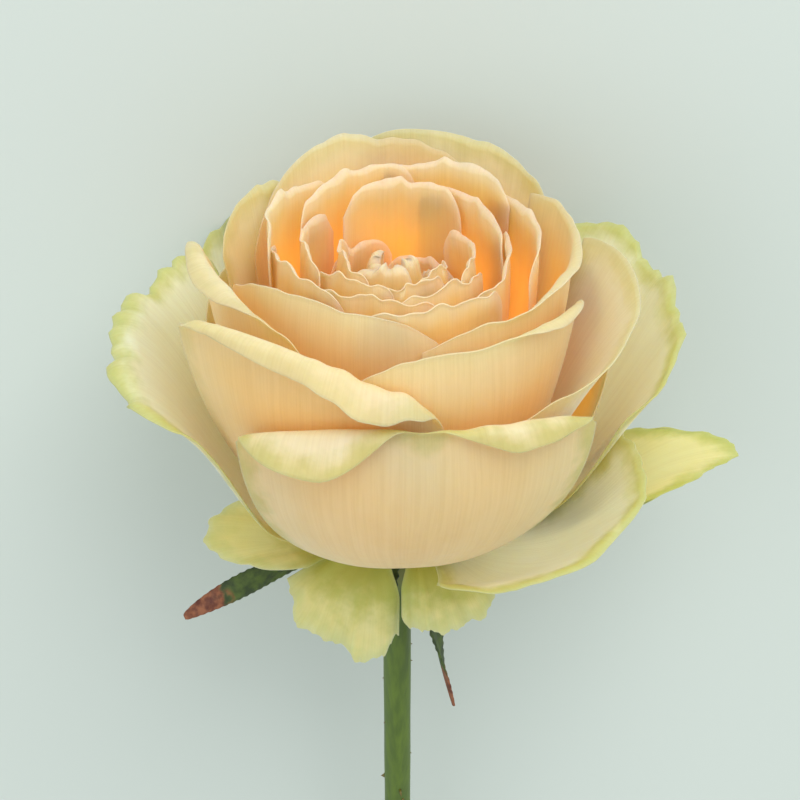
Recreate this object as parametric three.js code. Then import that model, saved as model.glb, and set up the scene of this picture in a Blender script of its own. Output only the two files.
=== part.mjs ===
// A cut rose lying on a table: one mesh for each petal and sepal, and one for the stem with its hip.
//
// Units are millimetres and degrees. The flower is drawn standing in its own frame: the stem runs
// along Z, its petals grow out of the hip's top near z = 0, and a petal's turn is its direction
// round the stem, from +X towards +Y. The group then lays the rose down on its +Y side.
import * as THREE from "three";

// Driving dimensions
const PETAL_THICKNESS = 0.5;
const FOOT_THICKNESS = 0.26;
const SEPAL_THICKNESS = 0.7;
const STEM_RADIUS = 2.6;
const STEM_LENGTH = 140;
const HIP_RADIUS = 5.4;
const HIP_LENGTH = 11;
const CUT_SLOPE = 0.8;
const HEAD_HEIGHT = 35.5;
const GOLDEN_ANGLE = 137.5;

// The inner petals, from the outermost one to the innermost one
const INNER_PETALS = 24;
const INNER_TURN = 15;
const INNER_RADIUS = [23.2, 4.3];
const INNER_HEIGHT = [57.5, 54];
const INNER_SPAN = [36, 52];
const INNER_LEAN = [-2, -14];
const INNER_LOW = [6, 16];
const INNER_DEPTH = [0.5, 1];
const INNER_BELLY = 0.68;
const SPIRAL_DRIFT = 0.7;
const BACK_RISE = 4;
const UNEVEN_RISE = 1;
const UNEVEN_SLOPE = 1.6;

// The sepals sit round the hip's shoulder
const SEPAL_SEAT = { radius: 6.3, height: -3.4 };
const SEPAL_HALF_WIDTH = 2.1;
const SEPAL_TIP_HALF_WIDTH = 0.3;
const SEPAL_FOLD = 0.25;

// The petals' feet climb the hip's domed top, from the outermost foot to the innermost one.
const OUTER_FOOT = { radius: 5.4, height: -1.5 };
const INNER_FOOT = { radius: 0.7, height: 3.6 };

// How finely the sheets are divided
const COLUMNS = 8;
const BODY_ROWS = 6;
const LIP_ROWS = 2;
const INNER_COLUMNS = 6;
const INNER_ROWS = 5;

const radians = THREE.MathUtils.degToRad;
const mix = THREE.MathUtils.lerp;
const smooth = (x) => THREE.MathUtils.smoothstep(x, 0, 1);

// The smooth value at u = -1..1 of a quantity given at the left edge, the middle and the right edge.
function across(three, u) {
  const [left, middle, right] = three;
  return middle + ((right - left) / 2) * u + ((left + right) / 2 - middle) * u * u;
}

// A lip's length at u: it may swell on each side of the middle, and it dies out at the corners.
function lipAt(three, u) {
  const [left, middle, right] = three;
  const side = u < 0 ? left : right;
  return mix(middle, side, smooth(Math.abs(u) / 0.5)) * (1 - Math.abs(u) ** 4);
}

// The profile of a petal at u, from its foot to its rim, as points (radius, height).
function profileAt(petal, u) {
  const foot = new THREE.Vector2(
    mix(OUTER_FOOT.radius, INNER_FOOT.radius, petal.depth),
    mix(OUTER_FOOT.height, INNER_FOOT.height, petal.depth),
  );
  const rim = new THREE.Vector2(across(petal.rim, u), across(petal.top, u));
  const lean = radians(across(petal.lean, u));
  const reach = 0.38 * rim.distanceTo(foot);
  const low = new THREE.Vector2(petal.belly, petal.low);
  const high = new THREE.Vector2(rim.x - reach * Math.sin(lean), rim.y - reach * Math.cos(lean));
  const curve = new THREE.CubicBezierCurve(foot, low, high, rim);
  const end = 1 - petal.shoulder * Math.abs(u) ** petal.corner;
  const points = [];
  for (let row = 0; row <= petal.rows; row++) {
    points.push(curve.getPoint((end * row) / petal.rows));
  }
  const lip = lipAt(petal.lip, u);
  const tangent = curve.getTangent(end);
  const start = Math.atan2(tangent.x, tangent.y);
  const roll = radians(petal.roll);
  const steps = 8;
  const stride = Math.max(lip, 0.5) / LIP_ROWS / steps;
  const point = points.at(-1).clone();
  for (let row = 0; row < petal.lipRows; row++) {
    for (let step = 0; step < steps; step++) {
      const along = lip * ((row + (step + 0.5) / steps) / LIP_ROWS);
      const angle = start + roll * Math.min(1, along / (Math.abs(roll) * petal.curl));
      point.x += stride * Math.sin(angle);
      point.y += stride * Math.cos(angle);
    }
    points.push(point.clone());
  }
  return points;
}

// The middle surface of a petal as columns of points, from its left edge to its right edge.
function petalSurface(petal) {
  const columns = [];
  for (let column = 0; column <= petal.columns; column++) {
    const even = -1 + (2 * column) / petal.columns;
    const u = mix(even, Math.sin((Math.PI / 2) * even), 0.5);
    columns.push(
      profileAt(petal, u).map((point, row) => {
        const share = Math.min(1, row / petal.rows / 0.6);
        const width = mix(petal.claw, 1, Math.sin((Math.PI / 2) * share));
        const angle = radians(petal.turn + petal.span * u * width);
        return new THREE.Vector3(point.x * Math.cos(angle), point.x * Math.sin(angle), point.y);
      }),
    );
  }
  return columns;
}

// A closed solid: a middle surface thickened to both sides, thinner at its foot.
function sheetGeometry(columns, thickness, footThickness) {
  const last = columns.length - 1;
  const top = columns[0].length - 1;
  const out = [];
  const inner = [];
  const at = (column, row) =>
    columns[THREE.MathUtils.clamp(column, 0, last)][THREE.MathUtils.clamp(row, 0, top)];
  for (let column = 0; column <= last; column++) {
    for (let row = 0; row <= top; row++) {
      const sideways = at(column + 1, row).clone().sub(at(column - 1, row));
      const upwards = at(column, row + 1).clone().sub(at(column, row - 1));
      const half = mix(footThickness, thickness, Math.min(1, row / top / 0.3)) / 2;
      const normal = sideways.cross(upwards).setLength(half);
      out.push(at(column, row).clone().add(normal));
      inner.push(at(column, row).clone().sub(normal));
    }
  }
  const index = [];
  const count = out.length;
  const id = (column, row) => column * (top + 1) + row;
  const quad = (a, b, c, d) => index.push(a, b, c, a, c, d);
  for (let column = 0; column < last; column++) {
    for (let row = 0; row < top; row++) {
      const [a, b] = [id(column, row), id(column + 1, row)];
      const [c, d] = [id(column + 1, row + 1), id(column, row + 1)];
      quad(a, b, c, d);
      quad(count + d, count + c, count + b, count + a);
    }
    const [footA, footB] = [id(column, 0), id(column + 1, 0)];
    const [rimA, rimB] = [id(column, top), id(column + 1, top)];
    quad(count + footA, count + footB, footB, footA);
    quad(rimA, rimB, count + rimB, count + rimA);
  }
  for (let row = 0; row < top; row++) {
    const [a, b] = [id(0, row), id(0, row + 1)];
    const [c, d] = [id(last, row), id(last, row + 1)];
    quad(b, count + b, count + a, a);
    quad(c, count + c, count + d, d);
  }
  const geometry = new THREE.BufferGeometry().setFromPoints([...out, ...inner]);
  geometry.setIndex(index);
  geometry.computeVertexNormals();
  return geometry;
}

// The petals that show, from the outside in. Three values are at a petal's left edge, middle and
// right edge, seen from outside: rim and top are the radius and height of the rim, and lean is how
// far it leans outwards. Depth is how far in the petal's foot sits; belly and low are the radius
// and height that its bowl swings through. A lip is the rim's rolled edge.
const PLAIN_PETAL = {
  claw: 0.5, shoulder: 0.3, corner: 4, lean: [-10, -10, -10], lip: [0, 0, 0], roll: 120, curl: 2,
  columns: COLUMNS, rows: BODY_ROWS, lipRows: LIP_ROWS,
};
const GUARD_PETALS = {
  left: { turn: 194, span: 19, belly: 18, low: -2.5, rim: [26.5, 34, 20], top: [4, 0.5, -3],
    lean: [80, 90, 100], shoulder: 0.1 },
  front: { turn: 239, span: 33, belly: 17, low: -3.5, rim: [24, 20, 15], top: [-6.5, -16, -17],
    lean: [110, 150, 160], shoulder: 0.12 },
  right: { turn: 299, span: 26, belly: 17, low: -2, rim: [16, 19, 23], top: [-11, -12, -8],
    lean: [150, 140, 120], shoulder: 0.12 },
  back_right: { turn: 42, span: 27, belly: 18, low: -2.5, rim: [24, 30, 24], top: [-2, -4, -2],
    lean: [90, 95, 90], shoulder: 0.15 },
  back_left: { turn: 108, span: 30, belly: 18, low: -2.5, rim: [24, 28, 24], top: [0, -2, 0],
    lean: [85, 90, 85], shoulder: 0.15 },
};
const OUTER_PETALS = {
  left: { turn: 176, span: 38, belly: 32, low: -1, rim: [47, 46, 42], top: [38, 38, 33],
    lean: [45, 48, 45], lip: [3, 5, 5], roll: 80, curl: 3, shoulder: 0.05, corner: 9 },
  front_right: { turn: 325, span: 34, belly: 27, low: -2.5, rim: [22, 41, 42], top: [0, 11, 25],
    lean: [95, 50, 30], lip: [1, 2.5, 2], roll: 60, curl: 2.5, shoulder: 0.1 },
  right_low: { depth: 0.04, turn: 358, span: 14, belly: 34, low: -5.5, rim: [46, 60, 47],
    top: [12.5, 17, 21], lean: [75, 85, 70], shoulder: 0.25, corner: 1.3 },
  right: { turn: 20, span: 35, belly: 32, low: 0.3, rim: [41.5, 51, 48], top: [28.5, 39, 40],
    lean: [33, 35, 40], lip: [2, 2, 2], roll: 70, curl: 2.5, shoulder: 0.04, corner: 7 },
  back_right: { turn: 62, span: 28, belly: 48, low: 0.5, rim: [52, 56, 54], top: [28, 34, 38],
    lean: [30, 15, 15], onTable: true },
  back_left: { turn: 119, span: 27, belly: 48, low: -0.5, rim: [54, 56, 52], top: [40, 38, 29],
    lean: [15, 15, 30], onTable: true },
};
const CUP_PETALS = {
  front: { depth: 0.2, turn: 276, span: 50, belly: 25, low: 0, rim: [38, 34.5, 40],
    top: [39, 41, 40], lean: [0, -20, 0], lip: [12, 2, 8], roll: 160, curl: 1.6, shoulder: 0.06 },
  low_right: { depth: 0.2, turn: 34, span: 48, belly: 24, low: 0, rim: [37, 36.5, 36],
    top: [42, 46, 44], lean: [0, 0, 0] },
  low_left: { depth: 0.2, turn: 138, span: 38, belly: 23, low: 0.5, rim: [36, 35.5, 34],
    top: [42, 44, 40], lean: [0, 0, 0] },
  front_left: { depth: 0.28, turn: 244, span: 40, belly: 23, low: 1.5, rim: [40, 33.3, 32],
    top: [56, 52, 44.5], lean: [5, -10, -14], lip: [6, 7, 10], roll: 150, curl: 1.8,
    shoulder: 0.06 },
  right: { depth: 0.28, turn: 341, span: 43, belly: 23, low: 1.5, rim: [32.5, 40, 37.5],
    top: [40, 46, 54], lean: [0, 36, 25], lip: [1, 1, 1], roll: 60, shoulder: 0.06 },
  back: { depth: 0.28, turn: 94, span: 46, belly: 22, low: 1.5, rim: [34.7, 34.5, 34.5],
    top: [46, 50, 46], lean: [0, 0, 0] },
  front_right: { depth: 0.36, turn: 299, span: 46, belly: 21, low: 3, rim: [30.5, 31.2, 32],
    top: [52, 52.5, 54], lean: [-8, -8, 10], lip: [1.5, 1.5, 5], roll: 120, shoulder: 0.06 },
  left: { depth: 0.36, turn: 207, span: 43, belly: 21, low: 3, rim: [34, 31.5, 29],
    top: [57, 57, 52], lean: [0, 5, -5], lip: [4, 6, 2], roll: 110, curl: 2, shoulder: 0.14 },
  top_left: { depth: 0.36, turn: 133, span: 28, belly: 21, low: 3, rim: [33, 33, 32.5],
    top: [56, 54.5, 55.5], lean: [5, 8, 5], lip: [1, 2, 1], roll: 60, shoulder: 0.1 },
  top_right: { depth: 0.36, turn: 64, span: 40, belly: 21, low: 3, rim: [32, 34, 33],
    top: [56, 59, 63], lean: [5, 8, 5], lip: [1, 2, 1], roll: 60, shoulder: 0.06 },
  inner_right: { depth: 0.44, turn: 338, span: 59, belly: 18.5, low: 4.5, rim: [25, 29, 29.5],
    top: [54.5, 56, 61.5], lean: [-12, 0, 5], lip: [2, 4, 2], roll: 90, curl: 2.5, shoulder: 0.06 },
  inner_left: { depth: 0.46, turn: 238, span: 51, belly: 17.5, low: 5.2, rim: [28, 24.5, 23.5],
    top: [55.5, 57, 54], lean: [0, -12, -16], lip: [1, 1, 1], roll: 90, shoulder: 0.06 },
  inner_back: { depth: 0.44, turn: 104, span: 46, belly: 19, low: 4.5, rim: [30, 30.5, 29.5],
    top: [58, 62, 53], lean: [0, 4, 0], lip: [1, 1.5, 1], roll: 60, shoulder: 0.1 },
};

// The inner petals follow one spiral: each stands further in than the last, a golden angle on.
// They rise higher at the back; behind the crumpled core some are shorter and leave a hollow.
const HOLLOW_HEIGHTS = { 14: 50, 16: 48, 19: 47, 21: 49 };
const CORE_HEIGHTS = { 20: 55, 22: 53.5, 23: 54.5 };

function innerPetal(order) {
  const share = order / (INNER_PETALS - 1);
  const between = ([outermost, innermost]) => mix(outermost, innermost, share);
  const turn = INNER_TURN + GOLDEN_ANGLE * order;
  const radius = between(INNER_RADIUS);
  const rise = BACK_RISE * Math.max(0, Math.sin(radians(turn))) + UNEVEN_RISE * Math.sin(2.4 * order);
  const height = HOLLOW_HEIGHTS[order] ?? CORE_HEIGHTS[order] ?? between(INNER_HEIGHT) + rise;
  const slope = UNEVEN_SLOPE * Math.sin(1.7 * order);
  const lean = between(INNER_LEAN);
  return {
    depth: between(INNER_DEPTH),
    turn,
    span: between(INNER_SPAN),
    belly: INNER_BELLY * radius,
    low: between(INNER_LOW),
    rim: [radius + SPIRAL_DRIFT, radius, radius - SPIRAL_DRIFT],
    top: [height - slope, height, height + slope],
    lean: [lean, lean, lean],
    shoulder: 0.07,
    corner: 9,
    columns: INNER_COLUMNS,
    rows: INNER_ROWS,
    lipRows: 0,
  };
}

// The five sepals: bent down from the hip's shoulder, narrow and pointed.
const SEPALS = {
  left: { turn: 181, length: 38, droop: 29, sag: 4 },
  front: { turn: 252, length: 17, droop: 74, sag: 8 },
  right: { turn: 322, length: 34, droop: 78, sag: -9 },
  back_right: { turn: 36, length: 26, droop: 60, sag: 10 },
  back_left: { turn: 108, length: 27, droop: 56, sag: 10 },
};

function sepalSurface({ turn, length, droop, sag }) {
  const rows = 7;
  const lines = [[], [], []];
  const spine = new THREE.Vector2(SEPAL_SEAT.radius, SEPAL_SEAT.height);
  const sideways = new THREE.Vector2(-Math.sin(radians(turn)), Math.cos(radians(turn)));
  for (let row = 0; row <= rows; row++) {
    const share = row / rows;
    const half = SEPAL_HALF_WIDTH * (1 - share ** 1.6) ** 0.8 + SEPAL_TIP_HALF_WIDTH;
    for (const side of [-1, 0, 1]) {
      const fold = Math.abs(side) * SEPAL_FOLD * half;
      lines[side + 1].push(
        new THREE.Vector3(
          spine.x * Math.cos(radians(turn)) + side * half * sideways.x,
          spine.x * Math.sin(radians(turn)) + side * half * sideways.y,
          spine.y + fold,
        ),
      );
    }
    const angle = radians(droop + sag * (share - 0.5) * 2);
    spine.x += (length / rows) * Math.cos(angle);
    spine.y -= (length / rows) * Math.sin(angle);
  }
  return lines;
}

// The stem widens into the hip, whose top is a dome under the petals' feet. Its end is cut aslant.
function stemGeometry() {
  const bottom = -STEM_LENGTH - HIP_LENGTH;
  const profile = [
    [0, bottom], [STEM_RADIUS, bottom], [STEM_RADIUS - 0.1, bottom / 2], [STEM_RADIUS, -22],
    [STEM_RADIUS + 0.3, -14.5], [STEM_RADIUS + 1.1, -12.6], [HIP_RADIUS - 0.5, -10],
    [HIP_RADIUS, -7], [HIP_RADIUS - 0.2, -4.4], [HIP_RADIUS - 0.6, -2.6], [3.6, -0.6], [0, 2.6],
  ];
  const geometry = new THREE.LatheGeometry(profile.map(([r, z]) => new THREE.Vector2(r, z)), 18);
  geometry.rotateX(Math.PI / 2);
  const position = geometry.getAttribute("position");
  for (let i = 0; i < position.count; i++) {
    const z = position.getZ(i);
    if (z < bottom + 0.01) {
      position.setZ(i, z + CUT_SLOPE * (STEM_RADIUS - position.getY(i)));
    }
  }
  return geometry;
}

// The lean of the laid rose: the head rests on its petals and the stem's end on the table.
const stemReach = STEM_LENGTH + HIP_LENGTH;
const layTilt =
  Math.asin(HEAD_HEIGHT / Math.hypot(stemReach, STEM_RADIUS)) - Math.atan2(STEM_RADIUS, stemReach);
const flower = new THREE.Group();
flower.name = "flower";
flower.rotation.x = layTilt - Math.PI / 2;
flower.position.z = HEAD_HEIGHT;
flower.updateMatrixWorld();
const uprightAgain = flower.matrixWorld.clone().invert();

// A petal that reaches the table is pressed flat on it by the head's weight.
function pressOnTable(columns) {
  for (const point of columns.flat()) {
    point.applyMatrix4(flower.matrixWorld);
    point.z = Math.max(point.z, PETAL_THICKNESS / 2);
    point.applyMatrix4(uprightAgain);
  }
}

function addPiece(name, geometry, color, roughness) {
  const mesh = new THREE.Mesh(geometry, new THREE.MeshStandardMaterial({ color, roughness }));
  mesh.name = name;
  flower.add(mesh);
}

function addPetal(name, shape, color) {
  const petal = { ...PLAIN_PETAL, ...shape };
  const columns = petalSurface(petal);
  if (petal.onTable) {
    pressOnTable(columns);
  }
  addPiece(name, sheetGeometry(columns, PETAL_THICKNESS, FOOT_THICKNESS), color, 0.6);
}

for (const [name, shape] of Object.entries(GUARD_PETALS)) {
  addPetal(`petal_guard_${name}`, { depth: 0, ...shape }, 0xdcd88f);
}
for (const [name, shape] of Object.entries(OUTER_PETALS)) {
  addPetal(`petal_outer_${name}`, { depth: 0.1, ...shape }, 0xe3e0a6);
}
for (const [name, shape] of Object.entries(CUP_PETALS)) {
  addPetal(`petal_cup_${name}`, shape, 0xf3d6a0);
}
const creamPeach = new THREE.Color(0xf8d29b);
const deepOrange = new THREE.Color(0xf2a04c);
for (let order = 0; order < INNER_PETALS; order++) {
  const color = creamPeach.clone().lerp(deepOrange, order / (INNER_PETALS - 1));
  const number = String(order + 1).padStart(2, "0");
  addPetal(`petal_inner_${number}`, innerPetal(order), color);
}
for (const [name, shape] of Object.entries(SEPALS)) {
  const geometry = sheetGeometry(sepalSurface(shape), SEPAL_THICKNESS, SEPAL_THICKNESS);
  addPiece(`sepal_${name}`, geometry, 0x5b6b2c, 0.7);
}
addPiece("stem", stemGeometry(), 0x688532, 0.5);

// The origin is on the table, under the middle of the rose.
const rose = new THREE.Group();
rose.add(flower);
const box = new THREE.Box3().setFromObject(rose, true);
rose.position.set(-(box.min.x + box.max.x) / 2, -(box.min.y + box.max.y) / 2, 0);

export default rose;
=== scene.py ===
"""A cut rose lying on a pale table, built petal by petal.

The tables and the petal formula repeat the solid part's: millimetres and degrees in the flower's own
frame, where the stem runs along Z, the petals grow out of the hip near z = 0, and a petal's turn is
its direction round the stem. The flower is then laid down on its +Y side, in metres.
"""

import math

import bpy
import numpy as np
from mathutils import Matrix, Vector


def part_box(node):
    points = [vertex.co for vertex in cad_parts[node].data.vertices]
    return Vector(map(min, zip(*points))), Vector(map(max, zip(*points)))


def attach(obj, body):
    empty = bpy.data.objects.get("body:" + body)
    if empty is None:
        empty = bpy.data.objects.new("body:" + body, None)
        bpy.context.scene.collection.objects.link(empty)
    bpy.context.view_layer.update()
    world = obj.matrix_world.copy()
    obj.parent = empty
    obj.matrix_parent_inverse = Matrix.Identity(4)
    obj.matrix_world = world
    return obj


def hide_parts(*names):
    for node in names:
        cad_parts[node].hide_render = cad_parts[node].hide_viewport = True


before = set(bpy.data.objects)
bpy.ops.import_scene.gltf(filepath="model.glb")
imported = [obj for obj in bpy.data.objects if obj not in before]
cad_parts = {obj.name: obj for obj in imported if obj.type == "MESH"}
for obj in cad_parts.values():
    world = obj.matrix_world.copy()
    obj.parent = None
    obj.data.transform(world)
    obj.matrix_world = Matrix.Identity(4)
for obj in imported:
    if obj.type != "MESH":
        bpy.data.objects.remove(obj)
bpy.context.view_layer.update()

MM = 0.001

# ---------------------------------------------------------------- driving dimensions
STEM_RADIUS = 2.6
STEM_LENGTH = 140.0
HIP_RADIUS = 5.4
HIP_LENGTH = 11.0
CUT_SLOPE = 0.8
HEAD_HEIGHT = 35.5
OUTER_FOOT = (5.4, -1.5)
INNER_FOOT = (0.7, 3.6)

# a petal's thickness in its middle, at its rim and at its foot, and how far in the rim's taper goes
PETAL_THICKNESS = 0.42
RIM_THICKNESS = 0.2
FOOT_THICKNESS = 0.26
RIM_TAPER = 1.5

# a petal pressed on the table stays this far off it, so that the two faces never share a plane
TABLE_GAP = 0.1

# the inner petals, from the outermost one to the innermost one
GOLDEN_ANGLE = 137.5
INNER_PETALS = 24
INNER_TURN = 15
INNER_RADIUS = (23.2, 4.3)
INNER_HEIGHT = (57.5, 54)
INNER_SPAN = (36, 52)
INNER_LEAN = (-2, -14)
INNER_LOW = (6, 16)
INNER_DEPTH = (0.5, 1)
INNER_WARMTH = (0.6, 1.0)
INNER_BELLY = 0.68
INNER_LIP = 1.3
INNER_ROLL = 75
SPIRAL_DRIFT = 0.9
BACK_RISE = 4
UNEVEN_RISE = 1
RISE_WAVE = 2.4
UNEVEN_SLOPE = 1.6
SLOPE_WAVE = 1.7
HOLLOW_HEIGHTS = {14: 50, 16: 48, 19: 47, 21: 49}

# the crumpled core's petals fold inwards at the rim, which sinks them a little
CORE_HEIGHTS = {20: 55, 22: 53.5, 23: 54.5}
CORE_FOLD = 2.5
CORE_ROLL = -80
CORE_SINK = CORE_FOLD / 3

# each petal's veins start this much further on in their noise than the last one's
SEED_STEP = 3.7

# how finely the petals are divided; a lip is walked in some steps for each of its rows
COLUMNS = 64
BODY_ROWS = 36
LIP_ROWS = 14
LIP_STEPS = 4
LEAST_LIP = 0.5

# the petals' surface: how stiffly it leaves the rim, and the shares of its length at which it has
# its full width and its full thickness
RIM_REACH = 0.38
FULL_WIDTH_AT = 0.6
FULL_THICKNESS_AT = 0.3

# waves: how far in from the rim the ruffles fade, the swelling of the bowl, and the lip's unevenness
RUFFLE_FADE = 7.0
SWELL = 0.4
UNEVEN_ROLL = 0.12
TIP_HEIGHT = 0.02
TIP_WIDTH = 0.1

STEM_REACH = STEM_LENGTH + HIP_LENGTH
LAY_TILT = math.asin(HEAD_HEIGHT / math.hypot(STEM_REACH, STEM_RADIUS)) - math.atan2(
    STEM_RADIUS, STEM_REACH
)


def flower_to_world():
    """The matrix from the flower's frame in millimetres to the row frame in metres."""
    low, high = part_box("stem")
    tip_y = (STEM_RADIUS * math.sin(LAY_TILT) - STEM_REACH * math.cos(LAY_TILT)) * MM
    place = Vector(((low.x + high.x) / 2, low.y - tip_y, HEAD_HEIGHT * MM))
    turn = Matrix.Rotation(LAY_TILT - math.pi / 2, 4, "X")
    return Matrix.Translation(place) @ turn @ Matrix.Scale(MM, 4)


LAID = flower_to_world()

# ---------------------------------------------------------------- the petals' tables
# Three values are at a petal's left edge, middle and right edge, seen from outside: rim and top are
# the radius and height of the rim, and lean is how far it leans outwards. Depth is how far in the
# petal's foot sits; belly and low are the radius and height that its bowl swings through. A lip is
# the rim's rolled edge. Ragged, torn and ruffle shape the rim; green and warm tint the skin.
PLAIN_PETAL = {
    "claw": 0.5, "shoulder": 0.3, "corner": 4, "lean": (-10, -10, -10), "lip": (0, 0, 0),
    "roll": 120, "curl": 2, "ragged": 0.02, "torn": 0.0, "ruffle": 0.5, "point": 0.0,
    "green": 0.2, "warm": 0.4, "green_claw": 0.0, "on_table": False,
}
PLAIN_GUARD = {"depth": 0.0, "green": 0.55, "warm": 0.8, "torn": 0.12, "green_claw": 0.8}
PLAIN_OUTER = {"depth": 0.1, "green": 0.8, "warm": 0.0, "torn": 0.07}
GUARD_PETALS = {
    "left": dict(turn=194, span=19, belly=18, low=-2.5, rim=(26.5, 34, 20), top=(4, 0.5, -3),
                 lean=(80, 90, 100), shoulder=0.1, corner=7, ragged=0.04, torn=0.05, ruffle=1.0),
    "front": dict(turn=239, span=33, belly=17, low=-3.5, rim=(24, 20, 15), top=(-6.5, -16, -17),
                  lean=(110, 150, 160), shoulder=0.12, ragged=0.04, torn=0.18, ruffle=1.2),
    "right": dict(turn=299, span=26, belly=17, low=-2, rim=(16, 19, 23), top=(-11, -12, -8),
                  lean=(150, 140, 120), shoulder=0.12, ragged=0.04, ruffle=0.8),
    "back_right": dict(turn=42, span=27, belly=18, low=-2.5, rim=(24, 30, 24), top=(-2, -4, -2),
                       lean=(90, 95, 90), shoulder=0.15, ragged=0.04, ruffle=0.6),
    "back_left": dict(turn=108, span=30, belly=18, low=-2.5, rim=(24, 28, 24), top=(0, -2, 0),
                      lean=(85, 90, 85), shoulder=0.15, ragged=0.04, ruffle=0.6),
}
OUTER_PETALS = {
    "left": dict(turn=176, span=38, belly=32, low=-1, rim=(47, 46, 42), top=(38, 38, 33),
                 lean=(45, 48, 45), lip=(3, 5, 5), roll=80, curl=3, shoulder=0.05, corner=9,
                 ragged=0.035, ruffle=1.6),
    "front_right": dict(turn=325, span=34, belly=27, low=-2.5, rim=(22, 41, 42), top=(0, 11, 25),
                        lean=(95, 50, 30), lip=(1, 2.5, 2), roll=60, curl=2.5, shoulder=0.1,
                        ragged=0.035, ruffle=1.0),
    "right_low": dict(depth=0.04, turn=358, span=14, belly=34, low=-5.5, rim=(46, 60, 47),
                      top=(12.5, 17, 21), lean=(75, 85, 70), shoulder=0.25, corner=1.3,
                      ragged=0.05, ruffle=0.9, green=1.0, warm=0.7),
    "right": dict(turn=20, span=35, belly=32, low=0.3, rim=(41.5, 51, 48), top=(28.5, 39, 40),
                  lean=(33, 35, 40), lip=(2, 2, 2), roll=70, curl=2.5, shoulder=0.04, corner=7,
                  ragged=0.035, ruffle=1.4),
    "back_right": dict(turn=62, span=28, belly=48, low=0.5, rim=(52, 56, 54), top=(28, 34, 38),
                       lean=(30, 15, 15), on_table=True, ruffle=0.5),
    "back_left": dict(turn=119, span=27, belly=48, low=-0.5, rim=(54, 56, 52), top=(40, 38, 29),
                      lean=(15, 15, 30), on_table=True, ruffle=0.5),
}
CUP_PETALS = {
    "front": dict(depth=0.2, turn=276, span=50, belly=25, low=0, rim=(38, 34.5, 40),
                  top=(39, 41, 40), lean=(0, -20, 0), lip=(12, 2, 8), roll=160, curl=1.6,
                  shoulder=0.06, green=0.85, warm=0.3),
    "low_right": dict(depth=0.2, turn=34, span=48, belly=24, low=0, rim=(37, 36.5, 36),
                      top=(42, 46, 44), lean=(0, 0, 0)),
    "low_left": dict(depth=0.2, turn=138, span=38, belly=23, low=0.5, rim=(36, 35.5, 34),
                     top=(42, 44, 40), lean=(0, 0, 0)),
    "front_left": dict(depth=0.28, turn=244, span=40, belly=23, low=1.5, rim=(40, 33.3, 32),
                       top=(56, 52, 44.5), lean=(5, -10, -14), lip=(6, 7, 10), roll=150,
                       curl=1.8, shoulder=0.06, green=0.35, warm=0.45, ragged=0.03),
    "right": dict(depth=0.28, turn=341, span=43, belly=23, low=1.5, rim=(32.5, 40, 37.5),
                  top=(40, 46, 54), lean=(0, 36, 25), lip=(1, 1, 1), roll=60, shoulder=0.06,
                  green=0.3, warm=0.0),
    "back": dict(depth=0.28, turn=94, span=46, belly=22, low=1.5, rim=(34.7, 34.5, 34.5),
                 top=(46, 50, 46), lean=(0, 0, 0)),
    "front_right": dict(depth=0.36, turn=299, span=46, belly=21, low=3, rim=(30.5, 31.2, 32),
                        top=(52, 52.5, 54), lean=(-8, -8, 10), lip=(1.5, 1.5, 5), roll=120,
                        shoulder=0.06, green=0.1, warm=0.5),
    "left": dict(depth=0.36, turn=207, span=43, belly=21, low=3, rim=(34, 31.5, 29),
                 top=(57, 57, 52), lean=(0, 5, -5), lip=(4, 6, 2), roll=110, curl=2,
                 shoulder=0.14, green=0.3, warm=0.3),
    "top_left": dict(depth=0.36, turn=133, span=28, belly=21, low=3, rim=(33, 33, 32.5),
                     top=(56, 54.5, 55.5), lean=(5, 8, 5), lip=(1, 2, 1), roll=60, shoulder=0.1,
                     green=0.35, warm=0.3, ragged=0.03),
    "top_right": dict(depth=0.36, turn=64, span=40, belly=21, low=3, rim=(32, 34, 33),
                      top=(56, 59, 63), lean=(5, 8, 5), lip=(1, 2, 1), roll=60, shoulder=0.06,
                      green=0.35, warm=0.3, ragged=0.03),
    "inner_right": dict(depth=0.44, turn=338, span=59, belly=18.5, low=4.5, rim=(25, 29, 29.5),
                        top=(54.5, 56, 61.5), lean=(-12, 0, 5), lip=(2, 4, 2), roll=90,
                        curl=2.5, shoulder=0.06, green=0.0, warm=0.5),
    "inner_left": dict(depth=0.46, turn=238, span=51, belly=17.5, low=5.2, rim=(28, 24.5, 23.5),
                       top=(55.5, 57, 54), lean=(0, -12, -16), lip=(1, 1, 1), roll=90,
                       shoulder=0.06, green=0.0, warm=0.55),
    "inner_back": dict(depth=0.44, turn=104, span=46, belly=19, low=4.5, rim=(30, 30.5, 29.5),
                       top=(58, 62, 53), lean=(0, 4, 0), lip=(1, 1.5, 1), roll=60,
                       shoulder=0.1, green=0.1, warm=0.45, ragged=0.03),
}


def mix(a, b, share):
    return a + (b - a) * share


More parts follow.
